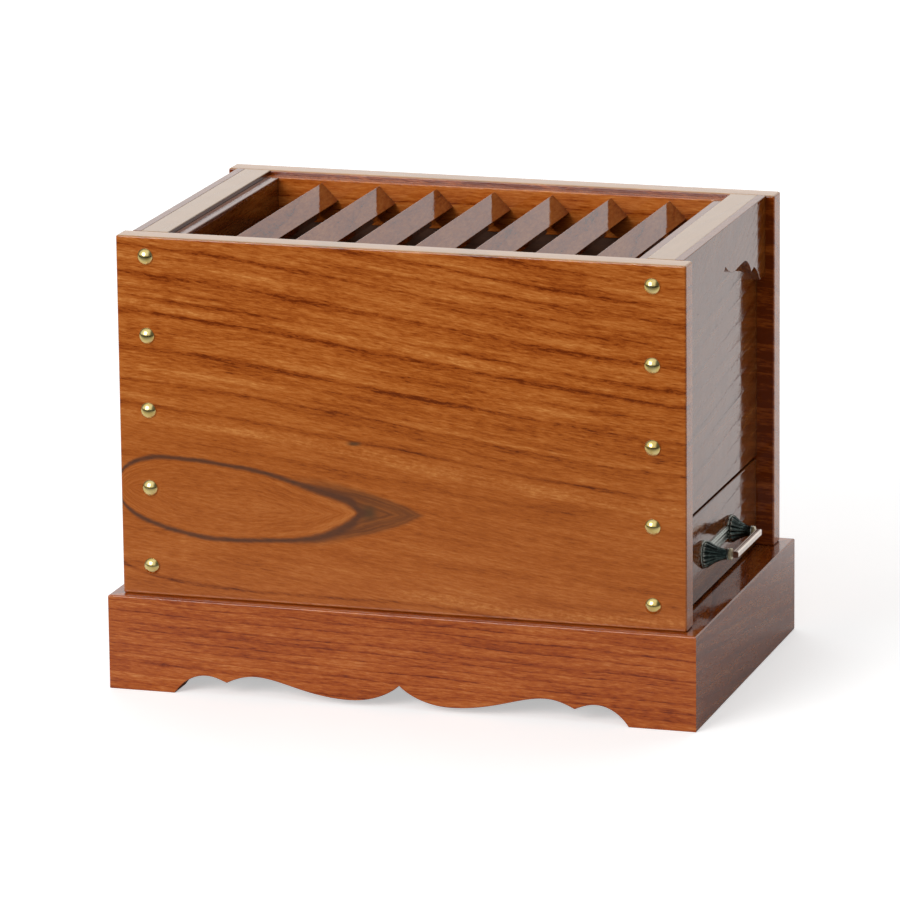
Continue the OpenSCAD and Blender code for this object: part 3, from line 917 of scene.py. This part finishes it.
CAMERA_AT = Vector((1.1255, -3.6276, 1.0729))
CAMERA_AIM = Vector((-0.0031, 0.0, 0.1304))
CAMERA_ROLL = math.radians(-0.626)
CAMERA_LENS = 259.1


def camera():
    data = bpy.data.cameras.new("camera")
    data.lens = CAMERA_LENS
    data.sensor_width = 36.0
    data.clip_end = 50.0
    made = bpy.data.objects.new("camera", data)
    turn = (CAMERA_AIM - CAMERA_AT).to_track_quat("-Z", "Y").to_matrix().to_4x4()
    made.matrix_world = Matrix.Translation(CAMERA_AT) @ turn @ Matrix.Rotation(CAMERA_ROLL, 4, "Z")
    bpy.context.scene.collection.objects.link(made)
    bpy.context.scene.camera = made


def area_light(name, at, aim, size, power):
    """A soft box: size in metres, power in watts."""
    data = bpy.data.lights.new(name, "AREA")
    data.shape = "RECTANGLE"
    data.size, data.size_y = size
    data.energy = power
    made = bpy.data.objects.new(name, data)
    made.location = at
    made.rotation_euler = (Vector(aim) - Vector(at)).to_track_quat("-Z", "Y").to_euler()
    made.visible_camera = False
    bpy.context.scene.collection.objects.link(made)


def floor():
    """A pale sweep: white behind the object, and fading to dark in front of it, which the camera
    doesn't see but the lacquer and the nails reflect."""
    bm = bmesh.new()
    bmesh.ops.create_grid(bm, x_segments=1, y_segments=1, size=12.0)
    mesh = bpy.data.meshes.new("floor")
    bm.to_mesh(mesh)
    bm.free()
    made = bpy.data.objects.new("floor", mesh)
    bpy.context.scene.collection.objects.link(made)
    g = Graph("floor")
    x, y, z = g.place()
    seen = Num(g, g.node("ShaderNodeLightPath").outputs["Is Camera Ray"])
    # What the object reflects: a table that is pale beside it and fades to dark in front of it
    nearness = g.ease(y, -450.0, -150.0) * 0.35 + g.ease(y, TABLE_FAR, TABLE_NEAR) * 0.38
    table = g.mix(nearness, (0.03, 0.03, 0.03), (1.0, 1.0, 1.0))
    speckle = g.noise(x * 0.02, y * 0.02, 0.0, detail=3.0)
    pale = g.mix(speckle, (0.80, 0.80, 0.80), (0.84, 0.84, 0.835))
    g.feed(g.shader.inputs["Base Color"], g.mix(seen, table, pale))
    g.shader.inputs["Emission Color"].default_value = (1.0, 1.0, 1.0, 1.0)
    sweep = g.ease(y, 150.0, 420.0) * SWEEP_GLOW
    glow = seen * (FLOOR_GLOW + g.ease(y, 200.0, 2200.0) * 0.25) + (1.0 - seen) * sweep
    g.feed(g.shader.inputs["Emission Strength"], glow)
    g.shader.inputs["Roughness"].default_value = 0.9
    g.shader.inputs["Specular IOR Level"].default_value = 0.0
    mesh.materials.append(g.material)


def world():
    """A white room to the eye, and for light a dim one that is bright behind the object and, on the
    left, above and in front of it."""
    made = bpy.data.worlds.new("world")
    made.use_nodes = True
    bpy.context.scene.world = made
    tree = made.node_tree
    background = tree.nodes["Background"]
    background.inputs["Color"].default_value = (1.0, 1.0, 1.0, 1.0)

    def node(kind, operation=None):
        new = tree.nodes.new(kind)
        if operation:
            new.operation = operation
        return new

    def eased(value, low, high, glow):
        new = node("ShaderNodeMapRange")
        new.interpolation_type = "SMOOTHSTEP"
        tree.links.new(value, new.inputs["Value"])
        new.inputs["From Min"].default_value = low
        new.inputs["From Max"].default_value = high
        new.inputs["To Min"].default_value = glow[0]
        new.inputs["To Max"].default_value = glow[1]
        return new.outputs["Result"]

    def joined(operation, first, second):
        new = node("ShaderNodeMath", operation)
        tree.links.new(first, new.inputs[0])
        tree.links.new(second, new.inputs[1])
        return new.outputs[0]

    direction = node("ShaderNodeTexCoord")
    split = node("ShaderNodeSeparateXYZ")
    tree.links.new(direction.outputs["Generated"], split.inputs[0])
    wall = eased(split.outputs["Y"], 0.45, 0.85, (ROOM_GLOW, WALL_GLOW))
    ahead = eased(split.outputs["Y"], -0.40, 0.0, (FRONT_GLOW, 0.0))
    above = eased(split.outputs["Z"], 0.0, 0.15, (0.0, 1.0))
    left = eased(split.outputs["X"], 0.40, 0.75, (1.0, 0.0))
    glow = joined("ADD", wall, joined("MULTIPLY", joined("MULTIPLY", ahead, above), left))
    seen = node("ShaderNodeLightPath")
    strength = node("ShaderNodeMix")
    tree.links.new(seen.outputs["Is Camera Ray"], strength.inputs["Factor"])
    tree.links.new(glow, strength.inputs["A"])
    strength.inputs["B"].default_value = 1.0
    tree.links.new(strength.outputs["Result"], background.inputs["Strength"])


# Where the reflected table fades, along Y in millimetres
TABLE_NEAR = -230.0
TABLE_FAR = -1000.0
# Glows, where 1 is the white of the picture
FLOOR_GLOW = 0.46
SWEEP_GLOW = 0.50
ROOM_GLOW = 0.10
WALL_GLOW = 1.22
FRONT_GLOW = 0.66

camera()
floor()
world()
area_light("key", at=(-1.1, -2.9, 1.5), aim=(0.0, 0.0, 0.12), size=(1.6, 1.6), power=66.0)
area_light("top", at=(-0.2, 0.9, 2.4), aim=(0.0, 0.4, 0.0), size=(1.8, 1.4), power=16.0)
bpy.context.scene.view_settings.view_transform = "Standard"
